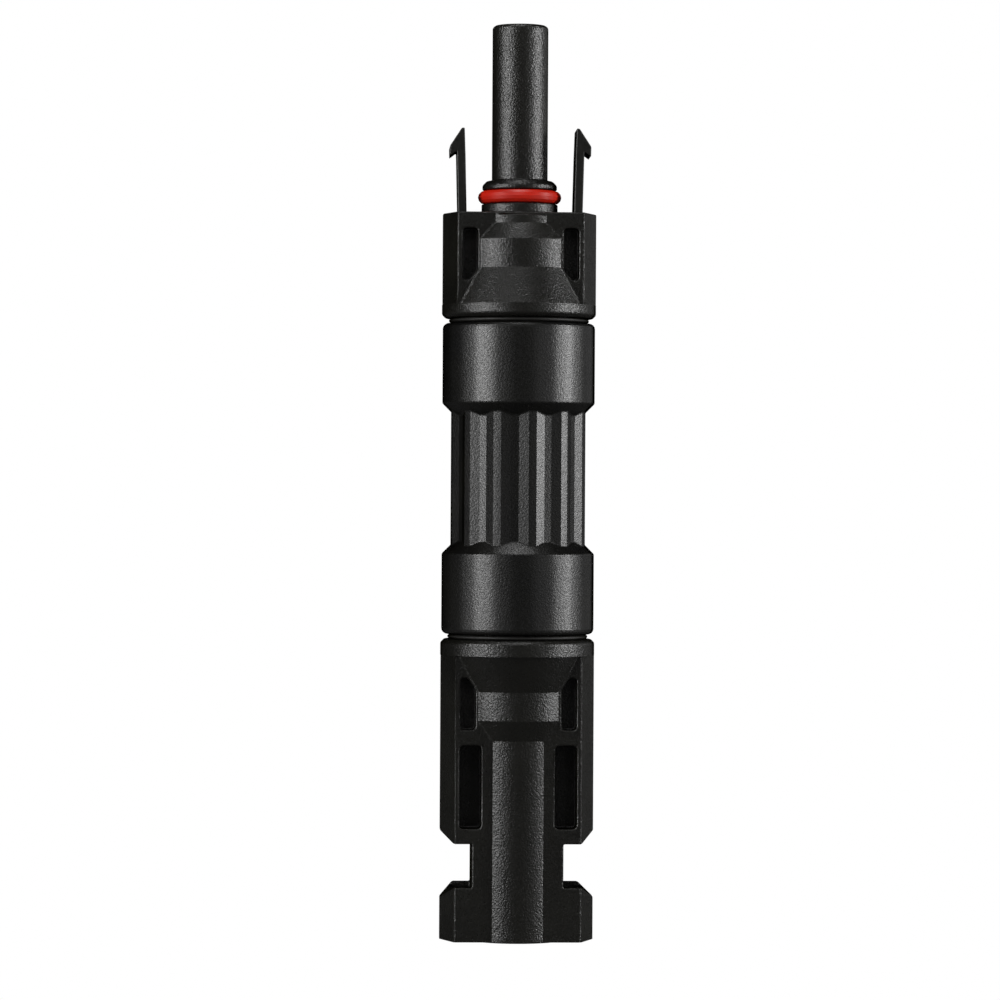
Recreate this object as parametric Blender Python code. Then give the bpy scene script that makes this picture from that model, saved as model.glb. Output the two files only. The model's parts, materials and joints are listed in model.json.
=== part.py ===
"""In-line solar fuse connector, in metres, +Z up.

It stands on the mouth of its receptacle end, with the fuse barrel above it and the plug end on top.
The latch fingers lie at -X and +X, and the front faces -Y.
"""

import math

import bmesh
import bpy

MM = 0.001

# Clearances.
FIT = 0.06 * MM
RUN = 0.3 * MM
CUT_PAST = 2.0 * MM
SINK = 0.15 * MM
WELD = 0.0001 * MM

# Facets around a turned piece.
ROUND_STEPS = 56
SMALL_STEPS = 32
ARC_STEPS = 4
SHARP_ANGLE = math.radians(30)

# Plastic block and turned core that both ends share.
BLOCK_DEPTH = 10.7 * MM
BLOCK_SLANT = 1.7 * MM
BLOCK_EDGE = 1.6 * MM
BLOCK_LAP = 0.3 * MM
FLANGE_OVERHANG = 0.06 * MM
FLANGE_STEP = 0.5 * MM
FLANGE_CHAMFER = 0.45 * MM
WAIST_RADIUS = 7.26 * MM
WAIST_HEIGHT = 3.5 * MM
CORE_RADIUS = 6.2 * MM

# Heights along the plug end, from its flange face up.
PLUG_FLANGE = 1.65 * MM
PLUG_CONE = 4.45 * MM
PLUG_SHOULDER = 1.95 * MM
PLUG_CORE = 1.35 * MM

# Heights along the receptacle end, from its mouth up.
RECEPTACLE_CORE = 24.7 * MM
RECEPTACLE_SHOULDER = 2.5 * MM
RECEPTACLE_CONE = 4.4 * MM
RECEPTACLE_FLANGE = 2.0 * MM

# Probe and its sealing ring.
PROBE_RADIUS = 3.445 * MM
PROBE_LENGTH = 23.25 * MM
PROBE_ROUND = 0.3 * MM
PROBE_BASE_RADIUS = 4.7 * MM
PROBE_BASE_HEIGHT = 1.2 * MM
O_RING_SECTION = 1.6 * MM
O_RING_RADIUS = 5.15 * MM
WASHER_RADIUS = 4.6 * MM
WASHER_HEIGHT = 1.15 * MM
WASHER_CHAMFER = 0.55 * MM

# Latch fingers.
FINGER_INSET = 2.5 * MM
FINGER_DEPTH_IN_BLOCK = 7.7 * MM
FINGER_WIDTH = 5.6 * MM
FINGER_THICKNESS = 1.06 * MM
FINGER_LEAN = math.radians(1.35)
FINGER_RISE = 10.45 * MM
ROOT_RADIUS = 0.8 * MM
BARB_REACH = 7.05 * MM
BARB_OUT = 0.84 * MM
BARB_UNDERCUT = 0.6 * MM
BARB_LAND = 1.2 * MM
TIP_INNER = 0.14 * MM
TIP_WIDTH = 0.35 * MM
FINGER_SWING = 1.2 * MM

# Pockets in the front and back flats.
POCKET_ROUND = 0.5 * MM
WAIST_POCKET_RIM = 0.63 * MM
WAIST_POCKET_WIDTH = 1.88 * MM
WAIST_POCKET_HEIGHT = 6.4 * MM
WAIST_POCKET_CUT = 1.3 * MM
WAIST_POCKET_TOP = 0.8 * MM
WAIST_POCKET_DEPTH = 1.8 * MM
PLUG_POCKET_BELOW_TOP = 2.0 * MM
LONG_POCKET_RIM = 0.55 * MM
LONG_POCKET_WIDTH = 2.7 * MM
LONG_POCKET_HEIGHT = 10.2 * MM
LONG_POCKET_ABOVE_NOTCH = 1.85 * MM
LONG_POCKET_DEPTH = 3.0 * MM
POCKET_BRIDGE = 1.9 * MM

# Mouth, notches and finger passages of the receptacle end.
NOTCH_HEIGHT = 5.35 * MM
NOTCH_DEPTH = 3.85 * MM
TAB_BEVEL_WIDTH = 1.6 * MM
TAB_BEVEL_HEIGHT = 1.4 * MM
MOUTH_PLAY = 0.35 * MM
MOUTH_DEPTH = 4.35 * MM
MOUTH_PROUD = 0.1 * MM
PROBE_PLAY = 0.15 * MM
PROBE_BORE_DEPTH = 23.7 * MM
PASSAGE_WALL = 1.35 * MM
PASSAGE_PLAY = 0.6 * MM

# Contacts, their sprung band and their toothed clips.
PIN_RADIUS = 2.0 * MM
PIN_RECESS = 5.2 * MM
PIN_ROUND = 0.8 * MM
BAND_WALL = 0.12 * MM
BAND_WAIST = 0.12 * MM
BAND_HEIGHT = 5.0 * MM
BAND_RECESS = 3.0 * MM
CONTACT_WALL = 0.5 * MM
SOCKET_DEPTH = 14.0 * MM
SOCKET_RECESS = 0.8 * MM
CONTACT_FLANGE_WIDTH = 0.55 * MM
CONTACT_FLANGE_HEIGHT = 1.0 * MM
TOOTHED_CLIP_WIDTH = 0.9 * MM
TOOTHED_CLIP_HEIGHT = 0.6 * MM
TOOTH_COUNT = 10
TOOTH_DEPTH = 0.3 * MM

# Fuse and the slotted cups that grip its caps.
FUSE_RADIUS = 5.15 * MM
FUSE_LENGTH = 38.0 * MM
FUSE_CAP_LENGTH = 10.0 * MM
FUSE_CAP_WALL = 0.4 * MM
FUSE_TUBE_WALL = 1.2 * MM
ELEMENT_WIDTH = 3.2 * MM
ELEMENT_THICKNESS = 0.25 * MM
ELEMENT_NOTCH = 0.9 * MM
ELEMENT_NOTCHES = 4
CUP_WALL = 0.45 * MM
CUP_PLATE = 0.8 * MM
CUP_SKIRT = 7.0 * MM
CUP_SLOT = 1.0 * MM
CUP_UNSLOTTED = 1.0 * MM
RING_WIRE = 0.45 * MM
RING_FROM_END = 1.5 * MM
CUP_SEAT_DEPTH = 0.2 * MM

# Threaded necks and their seals.
NECK_WALL = 0.7 * MM
NECK_LENGTH = 7.8 * MM
THREAD_PITCH = 2.4 * MM
THREAD_TURNS = 2
THREAD_STEPS = 24
THREAD_START = 1.4 * MM
RIDGE_WIDTH = 0.9 * MM
RIDGE_CREST = 0.5 * MM
RIDGE_HEIGHT = 0.5 * MM
SEAL_WIDTH = 1.15 * MM
SEAL_HEIGHT = 0.45 * MM
SEAL_ROUND = 0.15 * MM

# Fuse barrel.
BARREL_SPARE = 0.3 * MM
COLLAR_WALL = 1.67 * MM
COLLAR_INSET = 0.05 * MM
COLLAR_LENGTH = 9.9 * MM
COLLAR_ROUND = 0.7 * MM
COLLAR_BORE_SPARE = 0.5 * MM
GRIP_PLAY = 1.2 * MM
LAND_COUNT = 12
LAND_STEP = 1.0 * MM
LAND_WIDTH = 1.0 * MM
LAND_CLOCK = math.radians(10)
VALLEY_WIDTH = 0.9 * MM
VALLEY_DEPTH = 0.48 * MM

# Radii that follow from the fuse outwards.
CUP_INNER = FUSE_RADIUS + FIT
CUP_OUTER = CUP_INNER + CUP_WALL
RING_INNER = CUP_OUTER + FIT
NECK_BORE = RING_INNER + RING_WIRE + FIT
NECK_ROOT = NECK_BORE + NECK_WALL
THREAD_CREST = NECK_ROOT + RIDGE_HEIGHT
COLLAR_BORE = THREAD_CREST + RUN
GRIP_BORE = FUSE_RADIUS + GRIP_PLAY
SEAL_INNER = THREAD_CREST + FIT
COLLAR_RADIUS = COLLAR_BORE + COLLAR_WALL
LAND_RADIUS = COLLAR_RADIUS - LAND_STEP

# Widths that follow from the collar.
BLOCK_WIDTH = 2 * (COLLAR_RADIUS + COLLAR_INSET)
BLOCK_FLAT = BLOCK_WIDTH - 2 * BLOCK_SLANT
FLANGE_RADIUS = BLOCK_WIDTH / 2 + FLANGE_OVERHANG
CONE_RADIUS = FLANGE_RADIUS - FLANGE_STEP
FINGER_OFFSET = BLOCK_WIDTH / 2 - FINGER_INSET
WAIST_POCKET_INNER = BLOCK_FLAT / 2 - WAIST_POCKET_RIM - WAIST_POCKET_WIDTH
LONG_POCKET_INNER = BLOCK_FLAT / 2 - LONG_POCKET_RIM - LONG_POCKET_WIDTH
NOTCH_CORE = BLOCK_WIDTH / 2 - NOTCH_DEPTH

# Radii that follow from the contact pin outwards.
BAND_INNER = PIN_RADIUS + FIT
SOCKET_BORE = BAND_INNER + BAND_WALL + BAND_WAIST + FIT
CONTACT_RADIUS = SOCKET_BORE + CONTACT_WALL
CONTACT_BORE = CONTACT_RADIUS + FIT
TOOTHED_CLIP_OUTER = CONTACT_BORE + TOOTHED_CLIP_WIDTH
CLIP_POCKET = TOOTHED_CLIP_OUTER + FIT
CLIP_POCKET_DEPTH = CONTACT_FLANGE_HEIGHT + TOOTHED_CLIP_HEIGHT + 3 * FIT

# Heights that follow.
PLUG_HEIGHT = PLUG_FLANGE + PLUG_CONE + WAIST_HEIGHT + PLUG_SHOULDER + PLUG_CORE
RECEPTACLE_WAIST = RECEPTACLE_CORE + RECEPTACLE_SHOULDER
RECEPTACLE_HEIGHT = RECEPTACLE_WAIST + WAIST_HEIGHT + RECEPTACLE_CONE + RECEPTACLE_FLANGE
TAB_HEIGHT = BARB_REACH - RUN
NOTCH_TOP = TAB_HEIGHT + NOTCH_HEIGHT
JOINT_GAP = SEAL_HEIGHT + 2 * FIT
BARREL_LENGTH = FUSE_LENGTH + BARREL_SPARE
BARREL_BOTTOM = RECEPTACLE_HEIGHT + JOINT_GAP
PLUG_BOTTOM = BARREL_BOTTOM + BARREL_LENGTH + JOINT_GAP
LOWER_SEAT = RECEPTACLE_HEIGHT - CUP_SEAT_DEPTH
FUSE_BOTTOM = LOWER_SEAT + CUP_PLATE + 2 * FIT
UPPER_SEAT = FUSE_BOTTOM + FUSE_LENGTH + CUP_PLATE + 2 * FIT
PROBE_TIP = PLUG_BOTTOM + PLUG_HEIGHT + PROBE_LENGTH

# Colours, roughness and metallic values.
BLACK_PLASTIC = ((0.012, 0.012, 0.012, 1.0), 0.45, 0.0)
FINGER_PLASTIC = ((0.010, 0.010, 0.010, 1.0), 0.5, 0.0)
BARREL_PLASTIC = ((0.011, 0.011, 0.012, 1.0), 0.35, 0.0)
BLACK_RUBBER = ((0.008, 0.008, 0.008, 1.0), 0.6, 0.0)
RED_RUBBER = ((0.60, 0.02, 0.008, 1.0), 0.4, 0.0)
TINNED_COPPER = ((0.72, 0.70, 0.66, 1.0), 0.3, 1.0)
SPRING_STEEL = ((0.55, 0.55, 0.56, 1.0), 0.35, 1.0)
NICKEL = ((0.66, 0.64, 0.60, 1.0), 0.28, 1.0)
CERAMIC = ((0.80, 0.79, 0.75, 1.0), 0.55, 0.0)
SILVER = ((0.85, 0.84, 0.82, 1.0), 0.25, 1.0)


def made(name, bm):
    """Turns a bmesh into a named object with outward faces and smooth round sides."""
    bmesh.ops.recalc_face_normals(bm, faces=bm.faces)
    mesh = bpy.data.meshes.new(name)
    bm.to_mesh(mesh)
    bm.free()
    mesh.shade_smooth()
    mesh.set_sharp_from_angle(angle=SHARP_ANGLE)
    obj = bpy.data.objects.new(name, mesh)
    bpy.context.scene.collection.objects.link(obj)
    return obj


def painted(obj, look):
    """Gives an object its own material."""
    colour, roughness, metallic = look
    material = bpy.data.materials.new(obj.name)
    material.use_nodes = True
    shader = material.node_tree.nodes["Principled BSDF"]
    shader.inputs["Base Color"].default_value = colour
    shader.inputs["Roughness"].default_value = roughness
    shader.inputs["Metallic"].default_value = metallic
    obj.data.materials.append(material)


def combined(body, tool, operation):
    """Joins a tool to a body, or cuts it from the body, with a live Boolean."""
    modifier = body.modifiers.new(tool.name, "BOOLEAN")
    modifier.operation = operation
    modifier.solver = "EXACT"
    modifier.object = tool
    tool.parent = body
    tool.hide_render = True
    tool.display_type = "WIRE"


def turned(name, profile, steps=ROUND_STEPS):
    """A solid turned about Z from a closed loop of (radius, height) points."""
    bm = bmesh.new()
    verts = [bm.verts.new((radius, 0, height)) for radius, height in profile]
    sides = zip(verts, verts[1:] + verts[:1])
    edges = [bm.edges.new(side) for side in sides if side[0].co.x > 0 or side[1].co.x > 0]
    bmesh.ops.spin(
        bm, geom=verts + edges, cent=(0, 0, 0), axis=(0, 0, 1), angle=math.tau, steps=steps, use_merge=True
    )
    bmesh.ops.remove_doubles(bm, verts=bm.verts, dist=WELD)
    return made(name, bm)


def add_prism(bm, points, travel):
    """Adds a flat face through the points, extruded along travel."""
    face = bm.faces.new([bm.verts.new(point) for point in points])
    swept = bmesh.ops.extrude_face_region(bm, geom=[face])["geom"]
    corners = [item for item in swept if isinstance(item, bmesh.types.BMVert)]
    bmesh.ops.translate(bm, verts=corners, vec=travel)


def add_across(bm, outline, near, far):
    """Adds a prism whose (x, z) outline runs from y = near to y = far."""
    add_prism(bm, [(x, near, z) for x, z in outline], (0, far - near, 0))


def add_upright(bm, outline, low, high):
    """Adds a prism whose (x, y) outline runs from z = low to z = high."""
    add_prism(bm, [(x, y, low) for x, y in outline], (0, 0, high - low))


def mirrored(outline):
    """The outline with its first coordinate turned over."""
    return [(-x, z) for x, z in outline]


def arc(centre, radius, start, end, steps=ARC_STEPS):
    """Points along an arc, both ends included."""
    angles = [start + (end - start) * step / steps for step in range(steps + 1)]
    return [(centre[0] + radius * math.cos(a), centre[1] + radius * math.sin(a)) for a in angles]


def rounded(outline, radius):
    """A convex, anticlockwise outline with each corner replaced by an arc."""
    points = []
    for before, corner, after in zip(outline[-1:] + outline[:-1], outline, outline[1:] + outline[:1]):
        come = math.atan2(corner[1] - before[1], corner[0] - before[0])
        leave = math.atan2(after[1] - corner[1], after[0] - corner[0])
        turn = (leave - come) % math.tau
        setback = radius * math.tan(turn / 2)
        start = (corner[0] - setback * math.cos(come), corner[1] - setback * math.sin(come))
        centre = (start[0] - radius * math.sin(come), start[1] + radius * math.cos(come))
        points += arc(centre, radius, come - math.pi / 2, come - math.pi / 2 + turn)
    return points


def block_outline():
    """Plan of the plastic block: front and back flats, slanting facets and narrow sides."""
    flat, side = BLOCK_FLAT / 2, BLOCK_WIDTH / 2
    front, edge = BLOCK_DEPTH / 2, BLOCK_EDGE / 2
    right = [(flat, -front), (side, -edge), (side, edge), (flat, front)]
    return right + [(-x, -y) for x, y in right]


def block(name, low, high):
    """The plastic block between two heights."""
    bm = bmesh.new()
    add_upright(bm, block_outline(), low, high)
    return made(name, bm)


def waist_pocket_outline(low, upside_down):
    """Small pocket beside the waist, with a corner cut off along the cone."""
    inner, outer = WAIST_POCKET_INNER, WAIST_POCKET_INNER + WAIST_POCKET_WIDTH
    high = low + WAIST_POCKET_HEIGHT
    if upside_down:
        corners = [
            (outer - WAIST_POCKET_TOP, low),
            (outer, low),
            (outer, high),
            (inner, high),
            (inner, low + WAIST_POCKET_CUT),
        ]
    else:
        corners = [
            (inner, low),
            (outer, low),
            (outer, high),
            (outer - WAIST_POCKET_TOP, high),
            (inner, high - WAIST_POCKET_CUT),
        ]
    return rounded(corners, POCKET_ROUND)


def pockets(name, outlines):
    """Cutter for blind pockets on both sides of the front and back; takes (outline, depth) pairs."""
    bm = bmesh.new()
    for outline, depth in outlines:
        for half in (outline, mirrored(outline)):
            for side in (-1, 1):
                floor = side * (BLOCK_DEPTH / 2 - depth)
                add_across(bm, half, floor, side * (BLOCK_DEPTH / 2 + CUT_PAST))
    return made(name, bm)


def ridge(name, wall, crest, start):
    """Helical thread ridge from its wall radius to its crest radius; start is its first centre height."""
    bm = bmesh.new()
    foot = wall + math.copysign(SINK, wall - crest)
    section = [
        (foot, -RIDGE_WIDTH / 2),
        (crest, -RIDGE_CREST / 2),
        (crest, RIDGE_CREST / 2),
        (foot, RIDGE_WIDTH / 2),
    ]
    face = bm.faces.new([bm.verts.new((radius, 0, start + rise)) for radius, rise in section])
    bmesh.ops.spin(
        bm,
        geom=[face],
        cent=(0, 0, 0),
        axis=(0, 0, 1),
        dvec=(0, 0, THREAD_PITCH / THREAD_STEPS),
        angle=math.tau * THREAD_TURNS,
        steps=THREAD_STEPS * THREAD_TURNS,
    )
    bmesh.ops.remove_doubles(bm, verts=bm.verts, dist=WELD)
    return made(name, bm)


def plug_housing(end):
    """Upper plastic end: threaded neck, flange, cones, block and probe."""
    cone = PLUG_FLANGE + PLUG_CONE
    waist = cone + WAIST_HEIGHT
    shoulder = waist + PLUG_SHOULDER
    groove = PLUG_HEIGHT + PROBE_BASE_HEIGHT
    groove_floor = O_RING_RADIUS - O_RING_SECTION - FIT
    washer = groove + O_RING_SECTION + 2 * FIT
    washer_top = washer + WASHER_HEIGHT
    tip = PLUG_HEIGHT + PROBE_LENGTH
    seat = UPPER_SEAT - PLUG_BOTTOM
    outside = [
        (0, -NECK_LENGTH),
        (NECK_ROOT, -NECK_LENGTH),
        (NECK_ROOT, 0),
        (FLANGE_RADIUS - FLANGE_CHAMFER, 0),
        (FLANGE_RADIUS, FLANGE_CHAMFER),
        (FLANGE_RADIUS, PLUG_FLANGE),
        (CONE_RADIUS, PLUG_FLANGE),
        (WAIST_RADIUS, cone),
        (WAIST_RADIUS, waist),
        (CORE_RADIUS, shoulder),
        (CORE_RADIUS, PLUG_HEIGHT - BLOCK_LAP),
        (PROBE_BASE_RADIUS, PLUG_HEIGHT - BLOCK_LAP),
        (PROBE_BASE_RADIUS, groove),
        (groove_floor, groove),
        (groove_floor, washer),
        (WASHER_RADIUS, washer),
        (WASHER_RADIUS, washer_top - WASHER_CHAMFER),
        (WASHER_RADIUS - WASHER_CHAMFER, washer_top),
        (PROBE_RADIUS, washer_top),
        (PROBE_RADIUS, tip - PROBE_ROUND),
        (PROBE_RADIUS - PROBE_ROUND, tip),
        (0, tip),
    ]
    inside = [
        (0, -NECK_LENGTH - CUT_PAST),
        (NECK_BORE, -NECK_LENGTH - CUT_PAST),
        (NECK_BORE, seat),
        (CLIP_POCKET, seat),
        (CLIP_POCKET, seat + CLIP_POCKET_DEPTH),
        (CONTACT_BORE, seat + CLIP_POCKET_DEPTH),
        (CONTACT_BORE, tip + CUT_PAST),
        (0, tip + CUT_PAST),
    ]
    housing = turned("plug_housing", outside)
    housing.parent = end
    combined(housing, block("plug_block", PLUG_FLANGE - BLOCK_LAP, PLUG_HEIGHT), "UNION")
    combined(housing, turned("plug_bore", inside), "DIFFERENCE")
    combined(housing, finger_slots(), "DIFFERENCE")
    low = PLUG_HEIGHT - PLUG_POCKET_BELOW_TOP - WAIST_POCKET_HEIGHT
    outline = waist_pocket_outline(low, True)
    combined(housing, pockets("plug_pockets", [(outline, WAIST_POCKET_DEPTH)]), "DIFFERENCE")
    start = THREAD_START - NECK_LENGTH
    combined(housing, ridge("plug_thread", NECK_ROOT, THREAD_CREST, start), "UNION")
    painted(housing, BLACK_PLASTIC)


def finger_slots():
    """Cutter for the two slots in the plug block that hold the fingers' roots and let them swing."""
    pivot = PLUG_HEIGHT - FINGER_DEPTH_IN_BLOCK
    seat = ROOT_RADIUS + FIT
    lean_out = FINGER_DEPTH_IN_BLOCK * math.tan(FINGER_LEAN)
    outer = FINGER_OFFSET + FINGER_THICKNESS / 2 + lean_out + RUN
    inner = FINGER_OFFSET - FINGER_THICKNESS / 2 - FINGER_SWING
    top = PLUG_HEIGHT + CUT_PAST
    outline = [
        (FINGER_OFFSET - seat, pivot - seat),
        (FINGER_OFFSET + seat, pivot - seat),
        (FINGER_OFFSET + seat, pivot + seat),
        (outer, pivot + seat),
        (outer, top),
        (inner, top),
        (inner, pivot + seat),
        (FINGER_OFFSET - seat, pivot + seat),
    ]
    half = FINGER_WIDTH / 2 + RUN
    bm = bmesh.new()
    add_across(bm, outline, -half, half)
    add_across(bm, mirrored(outline), -half, half)
    return made("plug_finger_slots", bm)


def latch_finger(name, end, side):
    """Barbed finger with its origin on its root's axis; side is -1 for left and 1 for right."""
    stem = FINGER_THICKNESS / 2
    barb = FINGER_DEPTH_IN_BLOCK + BARB_REACH
    tip = FINGER_DEPTH_IN_BLOCK + FINGER_RISE
    foot = math.asin(stem / ROOT_RADIUS)
    outline = arc((0, 0), ROOT_RADIUS, math.pi / 2 + foot, math.tau + math.pi / 2 - foot, 3 * ARC_STEPS)
    outline += [
        (stem, barb + BARB_UNDERCUT),
        (stem + BARB_OUT, barb),
        (stem + BARB_OUT, barb + BARB_LAND),
        (-TIP_INNER, tip),
        (-TIP_INNER - TIP_WIDTH, tip),
        (-stem, barb),
    ]
    bm = bmesh.new()
    add_across(bm, outline, -FINGER_WIDTH / 2, FINGER_WIDTH / 2)
    finger = made(name, bm)
    finger.parent = end
    finger.location = (side * FINGER_OFFSET, 0, PLUG_HEIGHT - FINGER_DEPTH_IN_BLOCK)
    finger.rotation_euler = (0, FINGER_LEAN, math.pi if side < 0 else 0)
    painted(finger, FINGER_PLASTIC)


def probe_o_ring(end):
    """Sealing ring in the groove at the foot of the probe."""
    section = O_RING_SECTION / 2
    profile = arc((O_RING_RADIUS - section, 0), section, 0, math.tau, 3 * ARC_STEPS)[:-1]
    ring = turned("probe_o_ring", profile)
    ring.parent = end
    ring.location.z = PLUG_HEIGHT + PROBE_BASE_HEIGHT + FIT + section
    painted(ring, RED_RUBBER)


def socket_contact(end):
    """Turned contact in the probe, with its flange on the fuse cup."""
    top = PROBE_TIP - SOCKET_RECESS - UPPER_SEAT
    profile = [
        (0, FIT),
        (CONTACT_RADIUS + CONTACT_FLANGE_WIDTH, FIT),
        (CONTACT_RADIUS + CONTACT_FLANGE_WIDTH, FIT + CONTACT_FLANGE_HEIGHT),
        (CONTACT_RADIUS, FIT + CONTACT_FLANGE_HEIGHT),
        (CONTACT_RADIUS, top),
        (SOCKET_BORE, top),
        (SOCKET_BORE, top - SOCKET_DEPTH),
        (0, top - SOCKET_DEPTH),
    ]
    contact = turned("socket_contact", profile, SMALL_STEPS)
    contact.parent = end
    contact.location.z = UPPER_SEAT - PLUG_BOTTOM
    painted(contact, TINNED_COPPER)


def socket_spring_band(end):
    """Waisted band that presses on the mating pin."""
    half = BAND_HEIGHT / 2
    ends = BAND_INNER + BAND_WAIST
    profile = [
        (ends, -half),
        (ends + BAND_WALL, -half),
        (BAND_INNER + BAND_WALL, 0),
        (ends + BAND_WALL, half),
        (ends, half),
        (BAND_INNER, 0),
    ]
    band = turned("socket_spring_band", profile, SMALL_STEPS)
    band.parent = end
    band.location.z = PROBE_TIP - PLUG_BOTTOM - SOCKET_RECESS - BAND_RECESS - half
    painted(band, SPRING_STEEL)


def toothed_clip(name, end, height):
    """Toothed ring that holds a contact in its housing; height is its lower face."""
    outline = []
    for step in range(2 * TOOTH_COUNT):
        radius = TOOTHED_CLIP_OUTER - TOOTH_DEPTH * (step % 2)
        angle = math.pi * step / TOOTH_COUNT
        outline.append((radius * math.cos(angle), radius * math.sin(angle)))
    bm = bmesh.new()
    add_upright(bm, outline, 0, TOOTHED_CLIP_HEIGHT)
    clip = made(name, bm)
    bore = turned(
        name + "_bore",
        [
            (0, -CUT_PAST),
            (CONTACT_BORE, -CUT_PAST),
            (CONTACT_BORE, CUT_PAST),
            (0, CUT_PAST),
        ],
        SMALL_STEPS,
    )
    combined(clip, bore, "DIFFERENCE")
    clip.parent = end
    clip.location.z = height
    painted(clip, SPRING_STEEL)


def fuse_cup(name, end, seat, facing):
    """Slotted cup on a fuse cap; its plate lies on the seat and its skirt runs in the facing direction."""
    plate = CUP_PLATE
    rim = plate + CUP_SKIRT
    cup = turned(
        name,
        [
            (0, 0),
            (CUP_OUTER, 0),
            (CUP_OUTER, rim),
            (CUP_INNER, rim),
            (CUP_INNER, plate),
            (0, plate),
        ],
        SMALL_STEPS,
    )
    arm, half = CUP_OUTER + CUT_PAST, CUP_SLOT / 2
    quarter = [(half, half), (half, arm), (-half, arm)]
    cross = []
    for turn in range(4):
        cross += quarter
        quarter = [(-y, x) for x, y in quarter]
    bm = bmesh.new()
    add_upright(bm, cross, plate + CUP_UNSLOTTED, rim + CUT_PAST)
    combined(cup, made(name + "_slots", bm), "DIFFERENCE")
    cup.parent = end
    cup.location.z = seat + facing * FIT
    cup.rotation_euler.x = 0 if facing > 0 else math.pi
    painted(cup, TINNED_COPPER)


def cup_ring(name, end, seat, facing):
    """Spring ring around a fuse cup, near its rim."""
    half = RING_WIRE / 2
    ring = turned(name, arc((RING_INNER + half, 0), half, 0, math.tau, 2 * ARC_STEPS)[:-1], SMALL_STEPS)
    ring.parent = end
    ring.location.z = seat + facing * (FIT + CUP_PLATE + CUP_SKIRT - RING_FROM_END)
    painted(ring, SPRING_STEEL)


def neck_seal(name, height):
    """Flat ring between a flange and a collar; height is its lower face."""
    outer = SEAL_INNER + SEAL_WIDTH
    profile = [
        (SEAL_INNER, 0),
        (outer - SEAL_ROUND, 0),
        (outer, SEAL_ROUND),
        (outer, SEAL_HEIGHT - SEAL_ROUND),
        (outer - SEAL_ROUND, SEAL_HEIGHT),
        (SEAL_INNER, SEAL_HEIGHT),
    ]
    seal = turned(name, profile)
    seal.location.z = height
    painted(seal, BLACK_RUBBER)


def grip_section():
    """One pitch of the grip as (radius, angle) points: a land, a flank, a valley and a flank."""
    land = LAND_WIDTH / 2 / LAND_RADIUS
    floor = LAND_RADIUS - VALLEY_DEPTH
    pitch = math.tau / LAND_COUNT
    edge = (LAND_RADIUS * math.cos(land), LAND_RADIUS * math.sin(land))
    middle, half = pitch / 2, VALLEY_WIDTH / 2
    foot = (
        floor * math.cos(middle) + half * math.sin(middle),
        floor * math.sin(middle) - half * math.cos(middle),
    )
    rise = [(math.hypot(*point), math.atan2(point[1], point[0])) for point in (edge, foot)]
    fall = [(radius, pitch - angle) for radius, angle in reversed(rise)]
    return [(LAND_RADIUS, 0)] + rise + [(floor, middle)] + fall


def fuse_barrel(end):
    """Barrel with two collars, female threads and a grip of lands and valleys."""
    section = []
    for land in range(LAND_COUNT):
        turn = LAND_CLOCK + math.tau * land / LAND_COUNT
        section += [(radius, angle + turn) for radius, angle in grip_section()]
    top = BARREL_LENGTH
    bore_depth = NECK_LENGTH + COLLAR_BORE_SPARE
    corner = COLLAR_RADIUS - COLLAR_ROUND
    lower = [(COLLAR_BORE, 0)]
    lower += arc((corner, COLLAR_ROUND), COLLAR_ROUND, -math.pi / 2, 0)
    lower += [(COLLAR_RADIUS, COLLAR_LENGTH)]
    upper = [(radius, top - height) for radius, height in reversed(lower)]
    inner = [
        (COLLAR_BORE, top - bore_depth),
        (GRIP_BORE, top - bore_depth),
        (GRIP_BORE, bore_depth),
        (COLLAR_BORE, bore_depth),
    ]
    foot = COLLAR_LENGTH + COLLAR_RADIUS
    columns = []
    for radius, angle in section:
        grip = [(radius, foot - radius), (radius, top - foot + radius)]
        columns.append([(r * math.cos(angle), r * math.sin(angle), z) for r, z in lower + grip + upper + inner])
    bm = bmesh.new()
    verts = [[bm.verts.new(point) for point in column] for column in columns]
    for left, right in zip(verts, verts[1:] + verts[:1]):
        for row in range(len(left)):
            bm.faces.new((left[row - 1], right[row - 1], right[row], left[row]))
    barrel = made("fuse_barrel", bm)
    barrel.parent = end
    crest = COLLAR_BORE - RIDGE_HEIGHT
    shift = THREAD_PITCH / 2
    lower_start = THREAD_START - JOINT_GAP + shift
    upper_start = top + JOINT_GAP - NECK_LENGTH + THREAD_START - shift
    combined(barrel, ridge("barrel_lower_thread", COLLAR_BORE, crest, lower_start), "UNION")
    combined(barrel, ridge("barrel_upper_thread", COLLAR_BORE, crest, upper_start), "UNION")
    painted(barrel, BARREL_PLASTIC)


def fuse_cap(name, height, facing):
    """Metal cap of the fuse; height is its closed end."""
    profile = [
        (0, 0),
        (FUSE_RADIUS, 0),
        (FUSE_RADIUS, FUSE_CAP_LENGTH),
        (FUSE_RADIUS - FUSE_CAP_WALL, FUSE_CAP_LENGTH),
        (FUSE_RADIUS - FUSE_CAP_WALL, FUSE_CAP_WALL),
        (0, FUSE_CAP_WALL),
    ]
    cap = turned(name, profile, SMALL_STEPS)
    cap.location.z = height
    cap.rotation_euler.x = 0 if facing > 0 else math.pi
    painted(cap, NICKEL)


def fuse_tube():
    """Ceramic tube between the fuse's caps."""
    outer = FUSE_RADIUS - FUSE_CAP_WALL - FIT
    inner = outer - FUSE_TUBE_WALL
    low = FUSE_CAP_WALL + FIT
    high = FUSE_LENGTH - FUSE_CAP_WALL - FIT
    tube = turned("fuse_tube", [(inner, low), (outer, low), (outer, high), (inner, high)], SMALL_STEPS)
    tube.location.z = FUSE_BOTTOM
    painted(tube, CERAMIC)


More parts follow.
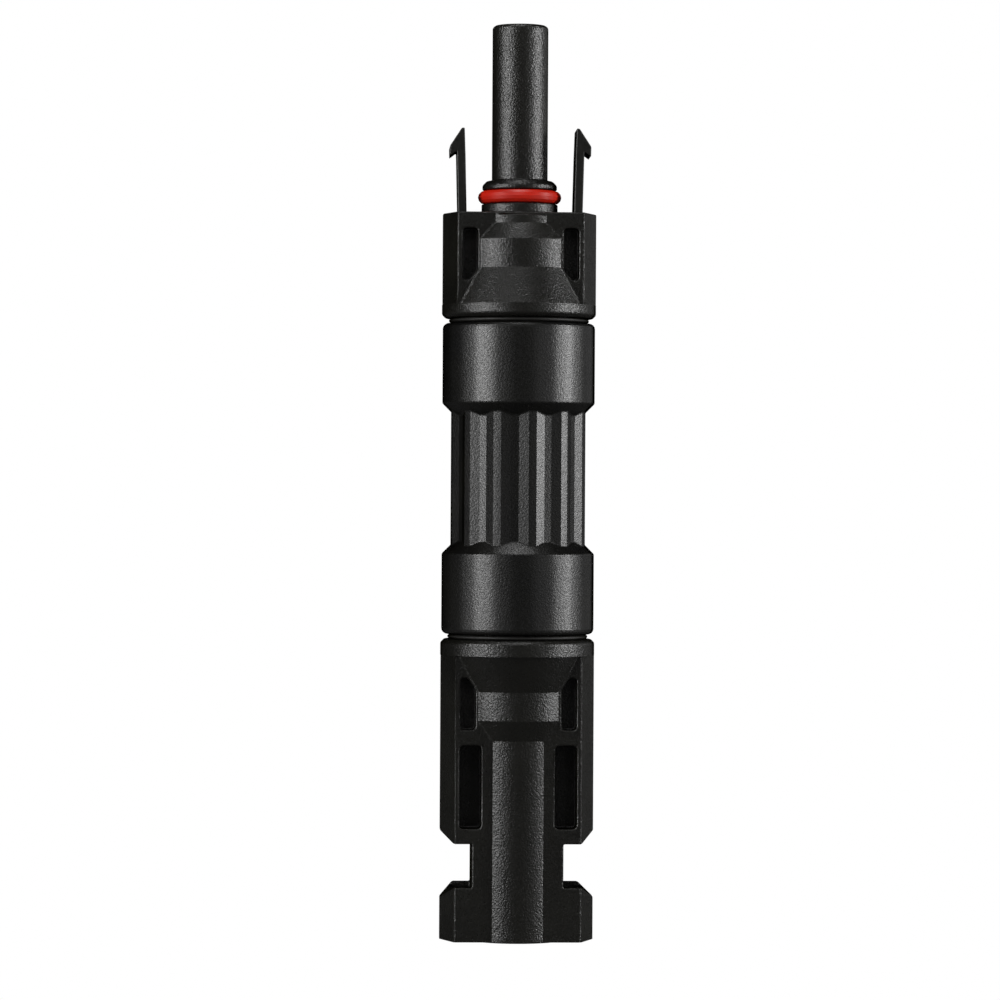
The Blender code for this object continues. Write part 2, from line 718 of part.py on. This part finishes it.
def fuse_element():
    """Notched strip that melts, from cap to cap inside the tube."""
    low = FUSE_CAP_WALL + FIT
    length = FUSE_LENGTH - 2 * low
    half, neck = ELEMENT_WIDTH / 2, ELEMENT_WIDTH / 2 - ELEMENT_NOTCH
    step = length / (ELEMENT_NOTCHES + 1)
    edge = [(half, low)]
    for notch in range(1, ELEMENT_NOTCHES + 1):
        middle = low + notch * step
        edge += [(half, middle - ELEMENT_NOTCH), (neck, middle), (half, middle + ELEMENT_NOTCH)]
    edge += [(half, low + length)]
    bm = bmesh.new()
    add_across(bm, edge + mirrored(edge)[::-1], -ELEMENT_THICKNESS / 2, ELEMENT_THICKNESS / 2)
    element = made("fuse_element", bm)
    element.location.z = FUSE_BOTTOM
    painted(element, SILVER)


def receptacle_housing():
    """Lower plastic end: mouth, notches, block, cones, flange and threaded neck."""
    waist = RECEPTACLE_WAIST + WAIST_HEIGHT
    cone = waist + RECEPTACLE_CONE
    top = RECEPTACLE_HEIGHT
    mouth = WASHER_RADIUS + MOUTH_PLAY
    passage = PROBE_RADIUS + PROBE_PLAY
    pocket_floor = LOWER_SEAT - CLIP_POCKET_DEPTH
    outside = [
        (0, 0),
        (CORE_RADIUS, 0),
        (CORE_RADIUS, RECEPTACLE_CORE),
        (WAIST_RADIUS, RECEPTACLE_WAIST),
        (WAIST_RADIUS, waist),
        (CONE_RADIUS, cone),
        (FLANGE_RADIUS, cone),
        (FLANGE_RADIUS, top - FLANGE_CHAMFER),
        (FLANGE_RADIUS - FLANGE_CHAMFER, top),
        (NECK_ROOT, top),
        (NECK_ROOT, top + NECK_LENGTH),
        (0, top + NECK_LENGTH),
    ]
    inside = [
        (0, -CUT_PAST),
        (mouth, -CUT_PAST),
        (mouth, MOUTH_DEPTH),
        (passage, MOUTH_DEPTH),
        (passage, PROBE_BORE_DEPTH),
        (CONTACT_BORE, PROBE_BORE_DEPTH),
        (CONTACT_BORE, pocket_floor),
        (CLIP_POCKET, pocket_floor),
        (CLIP_POCKET, LOWER_SEAT),
        (NECK_BORE, LOWER_SEAT),
        (NECK_BORE, top + NECK_LENGTH + CUT_PAST),
        (0, top + NECK_LENGTH + CUT_PAST),
    ]
    housing = turned("receptacle_housing", outside)
    combined(housing, block("receptacle_block", MOUTH_PROUD, cone + BLOCK_LAP), "UNION")
    combined(housing, turned("receptacle_bore", inside), "DIFFERENCE")
    combined(housing, notches(), "DIFFERENCE")
    combined(housing, finger_passages(), "DIFFERENCE")
    combined(housing, receptacle_pockets(), "DIFFERENCE")
    combined(housing, ridge("receptacle_thread", NECK_ROOT, THREAD_CREST, top + THREAD_START), "UNION")
    painted(housing, BLACK_PLASTIC)


def notches():
    """Cutter for the two side notches and the bevels above and below them."""
    bevel = BLOCK_WIDTH / 2 - TAB_BEVEL_WIDTH
    out = BLOCK_WIDTH / 2 + CUT_PAST
    slope = TAB_BEVEL_HEIGHT / TAB_BEVEL_WIDTH * (out - bevel)
    outline = [
        (NOTCH_CORE, TAB_HEIGHT),
        (bevel, TAB_HEIGHT),
        (out, TAB_HEIGHT - slope),
        (out, NOTCH_TOP + slope),
        (bevel, NOTCH_TOP),
        (NOTCH_CORE, NOTCH_TOP),
    ]
    bm = bmesh.new()
    for half in (outline, mirrored(outline)):
        add_across(bm, half, -BLOCK_DEPTH, BLOCK_DEPTH)
    return made("receptacle_notches", bm)


def finger_passages():
    """Cutter for the two ways through the tab for the mating fingers."""
    half = FINGER_WIDTH / 2 + PASSAGE_PLAY
    inner, outer = NOTCH_CORE, BLOCK_WIDTH / 2 - PASSAGE_WALL
    outline = [(inner, -half), (outer, -half), (outer, half), (inner, half)]
    bm = bmesh.new()
    for side in (outline, mirrored(outline)):
        add_upright(bm, side, -CUT_PAST, TAB_HEIGHT + NOTCH_HEIGHT / 2)
    return made("receptacle_passages", bm)


def receptacle_pockets():
    """Cutter for the long pockets beside the ridge and the small ones beside the waist."""
    low = NOTCH_TOP + LONG_POCKET_ABOVE_NOTCH
    high = low + LONG_POCKET_HEIGHT
    inner, outer = LONG_POCKET_INNER, LONG_POCKET_INNER + LONG_POCKET_WIDTH
    long_one = rounded([(inner, low), (outer, low), (outer, high), (inner, high)], POCKET_ROUND)
    small_one = waist_pocket_outline(high + POCKET_BRIDGE, False)
    return pockets("receptacle_pockets", [(long_one, LONG_POCKET_DEPTH), (small_one, WAIST_POCKET_DEPTH)])


def pin_contact():
    """Turned contact with a pin in the mouth and its flange under the fuse cup."""
    seat = LOWER_SEAT - FIT
    body = PROBE_BORE_DEPTH + RUN
    tip = arc((PIN_RADIUS - PIN_ROUND, PIN_RECESS + PIN_ROUND), PIN_ROUND, -math.pi / 2, 0)
    profile = [(0, PIN_RECESS)]
    profile += tip
    profile += [
        (PIN_RADIUS, body),
        (CONTACT_RADIUS, body),
        (CONTACT_RADIUS, seat - CONTACT_FLANGE_HEIGHT),
        (CONTACT_RADIUS + CONTACT_FLANGE_WIDTH, seat - CONTACT_FLANGE_HEIGHT),
        (CONTACT_RADIUS + CONTACT_FLANGE_WIDTH, seat),
        (0, seat),
    ]
    painted(turned("pin_contact", profile, SMALL_STEPS), TINNED_COPPER)


def carrier(name, height):
    """Empty on the shared axis that carries one end's pieces."""
    end = bpy.data.objects.new(name, None)
    end.location.z = height
    end.empty_display_size = BLOCK_WIDTH
    bpy.context.scene.collection.objects.link(end)
    return end


def main():
    for obj in list(bpy.data.objects):
        bpy.data.objects.remove(obj)
    plug_end = carrier("plug_end", PLUG_BOTTOM)
    barrel_end = carrier("barrel_end", BARREL_BOTTOM)
    plug_housing(plug_end)
    latch_finger("latch_finger_left", plug_end, -1)
    latch_finger("latch_finger_right", plug_end, 1)
    probe_o_ring(plug_end)
    socket_contact(plug_end)
    socket_spring_band(plug_end)
    upper_seat = UPPER_SEAT - PLUG_BOTTOM
    toothed_clip("socket_retaining_clip", plug_end, upper_seat + CONTACT_FLANGE_HEIGHT + 2 * FIT)
    fuse_cup("upper_fuse_clip", plug_end, upper_seat, -1)
    cup_ring("upper_clip_ring", plug_end, upper_seat, -1)
    neck_seal("upper_neck_seal", PLUG_BOTTOM - FIT - SEAL_HEIGHT)
    fuse_barrel(barrel_end)
    fuse_cap("upper_fuse_cap", FUSE_BOTTOM + FUSE_LENGTH, -1)
    fuse_cap("lower_fuse_cap", FUSE_BOTTOM, 1)
    fuse_tube()
    fuse_element()
    neck_seal("lower_neck_seal", RECEPTACLE_HEIGHT + FIT)
    receptacle_housing()
    pin_contact()
    toothed_clip("pin_retaining_clip", None, LOWER_SEAT - CLIP_POCKET_DEPTH + FIT)
    fuse_cup("lower_fuse_clip", None, LOWER_SEAT, 1)
    cup_ring("lower_clip_ring", None, LOWER_SEAT, 1)


main()
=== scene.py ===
"""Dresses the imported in-line solar fuse connector and sets up its studio picture."""

import json
import math

import bpy
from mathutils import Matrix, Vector

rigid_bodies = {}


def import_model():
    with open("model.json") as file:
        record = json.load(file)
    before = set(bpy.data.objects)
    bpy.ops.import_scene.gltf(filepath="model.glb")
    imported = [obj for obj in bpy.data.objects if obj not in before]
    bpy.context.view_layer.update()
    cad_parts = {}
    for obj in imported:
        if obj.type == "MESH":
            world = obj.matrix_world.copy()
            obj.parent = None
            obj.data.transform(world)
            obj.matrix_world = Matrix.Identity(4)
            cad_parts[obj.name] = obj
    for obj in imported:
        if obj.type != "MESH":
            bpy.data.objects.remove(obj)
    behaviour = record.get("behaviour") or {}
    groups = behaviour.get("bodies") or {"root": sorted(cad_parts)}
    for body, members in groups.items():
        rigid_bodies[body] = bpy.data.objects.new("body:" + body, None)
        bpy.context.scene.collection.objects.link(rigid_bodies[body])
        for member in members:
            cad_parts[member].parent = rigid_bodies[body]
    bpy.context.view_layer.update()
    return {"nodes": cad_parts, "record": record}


MM = 0.001

# Rounding of the moulded edges.
EDGE_ROUND = {
    "plug_housing": 0.16 * MM,
    "receptacle_housing": 0.16 * MM,
    "fuse_barrel": 0.14 * MM,
    "latch_finger_left": 0.12 * MM,
    "latch_finger_right": 0.12 * MM,
}
EDGE_SEGMENTS = 2
EDGE_ANGLE = math.radians(33)
SMOOTH_ANGLE = math.radians(9)
WELD = 0.002 * MM

# Heights of narrow ledges, which keep their sharp edges.
LEDGES = {"plug_housing": [78.19 * MM], "receptacle_housing": [35.1 * MM, 0.1 * MM]}
LEDGE_MARGIN = 0.02 * MM

# Moulded grain: its depth at full strength, its fine noise, the share of its cells in the
# height, and the wide cloud that varies the colour.
GRAIN_DEPTH = 0.06 * MM
FINE_DETAIL = 3.0
FINE_ROUGHNESS = 0.6
CELL_SHARE = 0.5
CLOUD_SCALE = 140.0
CLOUD_DETAIL = 2.0

# Part of a noise's range that is spread over the values that it drives.
NOISE_LOW = 0.3
NOISE_HIGH = 0.7

# Shine of what isn't metal. It fades out between these facing values (0 towards the camera,
# 1 edge on), so that no light glares along the edge of a form.
SHINE = 0.5
FADE_START = 0.5
FADE_END = 0.8

# Finishes: dark and light colour, range of roughness, strength and scale of the grain, metal.
JET = (0.001, 0.001, 0.001)
BLACK = (0.0034, 0.0033, 0.0024)
SOOT = (0.0068, 0.0066, 0.005)
FINISHES = {
    "black_plastic": (BLACK, SOOT, (0.26, 0.40), 1.0, 4400, False),
    "barrel_plastic": (JET, BLACK, (0.32, 0.43), 0.45, 4200, False),
    "finger_plastic": (BLACK, SOOT, (0.35, 0.50), 0.15, 5200, False),
    "red_rubber": ((0.46, 0.010, 0.003), (0.58, 0.018, 0.006), (0.3, 0.42), 0.1, 3500, False),
    "black_rubber": (BLACK, SOOT, (0.55, 0.7), 0.2, 4000, False),
    "tinned_copper": ((0.66, 0.64, 0.6), (0.76, 0.74, 0.7), (0.22, 0.36), 0.05, 2500, True),
    "spring_steel": ((0.48, 0.48, 0.49), (0.6, 0.6, 0.61), (0.26, 0.4), 0.05, 2500, True),
    "nickel": ((0.6, 0.58, 0.54), (0.7, 0.68, 0.64), (0.18, 0.3), 0.04, 2000, True),
    "ceramic": ((0.74, 0.73, 0.69), (0.84, 0.83, 0.79), (0.5, 0.65), 0.12, 2600, False),
    "silver": ((0.8, 0.79, 0.77), (0.88, 0.87, 0.85), (0.18, 0.3), 0.04, 2000, True),
}

# Camera, read from the photograph.
IMAGE_SIDE = 1000
PIXELS_PER_MM = 8.1
AXIS_RIGHT_OF_CENTRE = 18
CAMERA_DISTANCE = 540 * MM
CAMERA_HEIGHT = 54.2 * MM
CAMERA_AZIMUTH = math.radians(-2.2)
CAMERA_ROLL = math.radians(-0.31)
CLIP_START = 10 * MM
SENSOR = 36.0

# Lights around the part: azimuth and elevation in degrees, width, height and watts.
LIGHT_DISTANCE = 700 * MM
LIGHTS = {
    "left_strip": (-59, 3, 135 * MM, 520 * MM, 5.6),
    "left_fill": (-40, 3, 200 * MM, 520 * MM, 0.45),
    "top_fill": (-8, 46, 320 * MM, 260 * MM, 0.45),
    "overhead": (-10, 82, 200 * MM, 200 * MM, 1.3),
    "right_fill": (32, 3, 260 * MM, 520 * MM, 0.28),
    "right_strip": (77, 3, 140 * MM, 520 * MM, 6.2),
    "back_fill": (180, 3, 160 * MM, 520 * MM, 0.4),
    "right_rim": (136, 3, 260 * MM, 520 * MM, 0.22),
}

# Surroundings, which the camera sees as plain white.
WHITE = (1.0, 1.0, 1.0, 1.0)
AMBIENT = 0.004
FLOOR_SIDE = 4.0
FLOOR_GREY = 0.1
FLOOR_ROUGHNESS = 0.9


def start_clean():
    for obj in list(bpy.data.objects):
        bpy.data.objects.remove(obj)


def geometry_group(name):
    """An empty geometry node group, with its entry and its end."""
    group = bpy.data.node_groups.new(name, "GeometryNodeTree")
    for way in ("INPUT", "OUTPUT"):
        group.interface.new_socket("Geometry", in_out=way, socket_type="NodeSocketGeometry")
    return group, group.nodes.new("NodeGroupInput"), group.nodes.new("NodeGroupOutput")


def smooth_by_angle():
    """Geometry nodes that shade smooth, but keep edges over the angle sharp."""
    group, entry, leave = geometry_group("smooth_by_angle")
    nodes, links = group.nodes, group.links
    angle = nodes.new("GeometryNodeInputMeshEdgeAngle")
    compare = nodes.new("FunctionNodeCompare")
    compare.operation = "LESS_THAN"
    compare.inputs["B"].default_value = SMOOTH_ANGLE
    faces = nodes.new("GeometryNodeSetShadeSmooth")
    edges = nodes.new("GeometryNodeSetShadeSmooth")
    edges.domain = "EDGE"
    links.new(angle.outputs["Unsigned Angle"], compare.inputs["A"])
    links.new(entry.outputs[0], faces.inputs["Geometry"])
    links.new(faces.outputs[0], edges.inputs["Geometry"])
    links.new(compare.outputs["Result"], edges.inputs["Shade Smooth"])
    links.new(edges.outputs[0], leave.inputs[0])
    return group


def edges_to_round(name, ledges):
    """Geometry nodes that weight the edges over the angle for the bevel, but not on the ledges."""
    group, entry, leave = geometry_group(name)
    nodes, links = group.nodes, group.links
    angle = nodes.new("GeometryNodeInputMeshEdgeAngle")
    steep = nodes.new("FunctionNodeCompare")
    steep.operation = "GREATER_THAN"
    steep.inputs["B"].default_value = EDGE_ANGLE
    place = nodes.new("GeometryNodeInputPosition")
    axes = nodes.new("ShaderNodeSeparateXYZ")
    links.new(angle.outputs["Unsigned Angle"], steep.inputs["A"])
    links.new(place.outputs["Position"], axes.inputs["Vector"])
    chosen = steep.outputs["Result"]
    for ledge in ledges:
        apart = nodes.new("FunctionNodeCompare")
        apart.operation = "NOT_EQUAL"
        apart.inputs["B"].default_value = ledge
        apart.inputs["Epsilon"].default_value = LEDGE_MARGIN
        both = nodes.new("FunctionNodeBooleanMath")
        links.new(axes.outputs["Z"], apart.inputs["A"])
        links.new(chosen, both.inputs[0])
        links.new(apart.outputs["Result"], both.inputs[1])
        chosen = both.outputs[0]
    store = nodes.new("GeometryNodeStoreNamedAttribute")
    store.data_type = "FLOAT"
    store.domain = "EDGE"
    store.inputs["Name"].default_value = "bevel_weight_edge"
    links.new(entry.outputs[0], store.inputs["Geometry"])
    links.new(chosen, store.inputs["Value"])
    links.new(store.outputs[0], leave.inputs[0])
    return group


def rounded_edges(obj, width, smoother):
    """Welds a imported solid, rounds its sharp edges and shades it smooth."""
    weld = obj.modifiers.new("weld", "WELD")
    weld.merge_threshold = WELD
    if width:
        weights = obj.modifiers.new("weights", "NODES")
        weights.node_group = edges_to_round(obj.name + "_edges", LEDGES.get(obj.name, []))
        bevel = obj.modifiers.new("edges", "BEVEL")
        bevel.width = width
        bevel.segments = EDGE_SEGMENTS
        bevel.limit_method = "WEIGHT"
        bevel.use_clamp_overlap = False
        bevel.loop_slide = False
        bevel.miter_outer = "MITER_ARC"
    smooth = obj.modifiers.new("smooth", "NODES")
    smooth.node_group = smoother


def grain_group():
    """Fine spark-eroded grain: a height for the bump, specks for roughness, a cloud for colour."""
    group = bpy.data.node_groups.new("moulded_grain", "ShaderNodeTree")
    group.interface.new_socket("Scale", in_out="INPUT", socket_type="NodeSocketFloat")
    for name in ("Height", "Specks", "Cloud"):
        group.interface.new_socket(name, in_out="OUTPUT", socket_type="NodeSocketFloat")
    nodes, links = group.nodes, group.links
    entry = nodes.new("NodeGroupInput")
    leave = nodes.new("NodeGroupOutput")
    place = nodes.new("ShaderNodeTexCoord")
    fine = nodes.new("ShaderNodeTexNoise")
    fine.inputs["Detail"].default_value = FINE_DETAIL
    fine.inputs["Roughness"].default_value = FINE_ROUGHNESS
    cells = nodes.new("ShaderNodeTexVoronoi")
    cloud = nodes.new("ShaderNodeTexNoise")
    cloud.inputs["Scale"].default_value = CLOUD_SCALE
    cloud.inputs["Detail"].default_value = CLOUD_DETAIL
    blend = nodes.new("ShaderNodeMath")
    blend.operation = "MULTIPLY_ADD"
    blend.inputs[1].default_value = CELL_SHARE
    for texture in (fine, cells, cloud):
        links.new(place.outputs["Object"], texture.inputs["Vector"])
    links.new(entry.outputs["Scale"], fine.inputs["Scale"])
    links.new(entry.outputs["Scale"], cells.inputs["Scale"])
    links.new(cells.outputs["Distance"], blend.inputs[0])
    links.new(fine.outputs["Fac"], blend.inputs[2])
    links.new(blend.outputs[0], leave.inputs["Height"])
    links.new(fine.outputs["Fac"], leave.inputs["Specks"])
    links.new(cloud.outputs["Fac"], leave.inputs["Cloud"])
    return group


def remap(tree, source, start, end, low, high):
    """A Map Range of the source from start and end to low and high."""
    node = tree.nodes.new("ShaderNodeMapRange")
    node.inputs["From Min"].default_value = start
    node.inputs["From Max"].default_value = end
    node.inputs["To Min"].default_value = low
    node.inputs["To Max"].default_value = high
    tree.links.new(source, node.inputs["Value"])
    return node.outputs["Result"]


def moulded(name, grain, dark, light, rough, bump, scale, metal):
    """A plastic, rubber, ceramic or metal with grain, patchy colour and varied roughness."""
    material = bpy.data.materials.new(name)
    material.use_nodes = True
    tree = material.node_tree
    nodes, links = tree.nodes, tree.links
    shader = nodes["Principled BSDF"]
    texture = nodes.new("ShaderNodeGroup")
    texture.node_tree = grain
    texture.inputs["Scale"].default_value = scale
    colour = nodes.new("ShaderNodeMix")
    colour.data_type = "RGBA"
    colour.inputs["A"].default_value = (*dark, 1.0)
    colour.inputs["B"].default_value = (*light, 1.0)
    patches = remap(tree, texture.outputs["Cloud"], NOISE_LOW, NOISE_HIGH, 0.0, 1.0)
    links.new(patches, colour.inputs["Factor"])
    links.new(colour.outputs["Result"], shader.inputs["Base Color"])
    specks = remap(tree, texture.outputs["Specks"], NOISE_LOW, NOISE_HIGH, *rough)
    links.new(specks, shader.inputs["Roughness"])
    relief = nodes.new("ShaderNodeBump")
    relief.inputs["Strength"].default_value = bump
    relief.inputs["Distance"].default_value = GRAIN_DEPTH
    links.new(texture.outputs["Height"], relief.inputs["Height"])
    links.new(relief.outputs["Normal"], shader.inputs["Normal"])
    if metal:
        shader.inputs["Metallic"].default_value = 1.0
    else:
        facing = nodes.new("ShaderNodeLayerWeight").outputs["Facing"]
        shine = remap(tree, facing, FADE_START, FADE_END, SHINE, 0.0)
        links.new(shine, shader.inputs["Specular IOR Level"])
    return material


def dress(frame):
    """Rounds the visible solids and paints every node."""
    smoother = smooth_by_angle()
    grain = grain_group()
    paints = {name: moulded(name, grain, *finish) for name, finish in FINISHES.items()}
    slots = {part["node"]: part["material_slot"] for part in frame["record"]["subparts"]}
    for name, obj in frame["nodes"].items():
        rounded_edges(obj, EDGE_ROUND.get(name, 0), smoother)
        obj.data.materials.clear()
        obj.data.materials.append(paints[slots[name]])


def around(azimuth, distance, height):
    """A point round the axis; azimuth 0 is in front and grows towards +X."""
    return Vector((distance * math.sin(azimuth), -distance * math.cos(azimuth), height))


def camera():
    data = bpy.data.cameras.new("camera")
    obj = bpy.data.objects.new("camera", data)
    bpy.context.scene.collection.objects.link(obj)
    obj.location = around(CAMERA_AZIMUTH, CAMERA_DISTANCE, CAMERA_HEIGHT)
    obj.rotation_euler = (math.pi / 2, CAMERA_ROLL, CAMERA_AZIMUTH)
    data.sensor_width = SENSOR
    data.lens = SENSOR * CAMERA_DISTANCE / (IMAGE_SIDE / PIXELS_PER_MM * MM)
    data.shift_x = -AXIS_RIGHT_OF_CENTRE / IMAGE_SIDE
    data.clip_start = CLIP_START
    bpy.context.scene.camera = obj


def lights():
    target = Vector((0, 0, CAMERA_HEIGHT))
    for name, (azimuth, elevation, width, height, power) in LIGHTS.items():
        data = bpy.data.lights.new(name, "AREA")
        data.shape = "RECTANGLE"
        data.size = width
        data.size_y = height
        data.energy = power
        obj = bpy.data.objects.new(name, data)
        bpy.context.scene.collection.objects.link(obj)
        obj.visible_camera = False
        tilt = math.radians(elevation)
        reach = LIGHT_DISTANCE * math.cos(tilt)
        level = CAMERA_HEIGHT + LIGHT_DISTANCE * math.sin(tilt)
        obj.location = around(math.radians(azimuth), reach, level)
        obj.rotation_euler = (target - obj.location).to_track_quat("-Z", "Y").to_euler()


def camera_white(tree, white_type, other, target):
    """Shows plain white to the camera and the other shader to everything else."""
    nodes, links = tree.nodes, tree.links
    path = nodes.new("ShaderNodeLightPath")
    white = nodes.new(white_type)
    white.inputs["Color"].default_value = WHITE
    mix = nodes.new("ShaderNodeMixShader")
    links.new(path.outputs["Is Camera Ray"], mix.inputs["Fac"])
    links.new(other.outputs[0], mix.inputs[1])
    links.new(white.outputs[0], mix.inputs[2])
    links.new(mix.outputs[0], target.inputs["Surface"])


def studio():
    scene = bpy.context.scene
    scene.view_settings.view_transform = "Standard"
    world = bpy.data.worlds.new("studio")
    world.use_nodes = True
    scene.world = world
    tree = world.node_tree
    background = tree.nodes["Background"]
    background.inputs["Color"].default_value = WHITE
    background.inputs["Strength"].default_value = AMBIENT
    camera_white(tree, "ShaderNodeBackground", background, tree.nodes["World Output"])
    bpy.ops.mesh.primitive_plane_add(size=FLOOR_SIDE)
    floor = bpy.context.object
    floor.name = "floor"
    paint = bpy.data.materials.new("floor")
    paint.use_nodes = True
    tree = paint.node_tree
    shader = tree.nodes["Principled BSDF"]
    shader.inputs["Base Color"].default_value = (FLOOR_GREY, FLOOR_GREY, FLOOR_GREY, 1.0)
    shader.inputs["Roughness"].default_value = FLOOR_ROUGHNESS
    camera_white(tree, "ShaderNodeEmission", shader, tree.nodes["Material Output"])
    floor.data.materials.append(paint)


start_clean()
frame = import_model()
dress(frame)
camera()
lights()
studio()
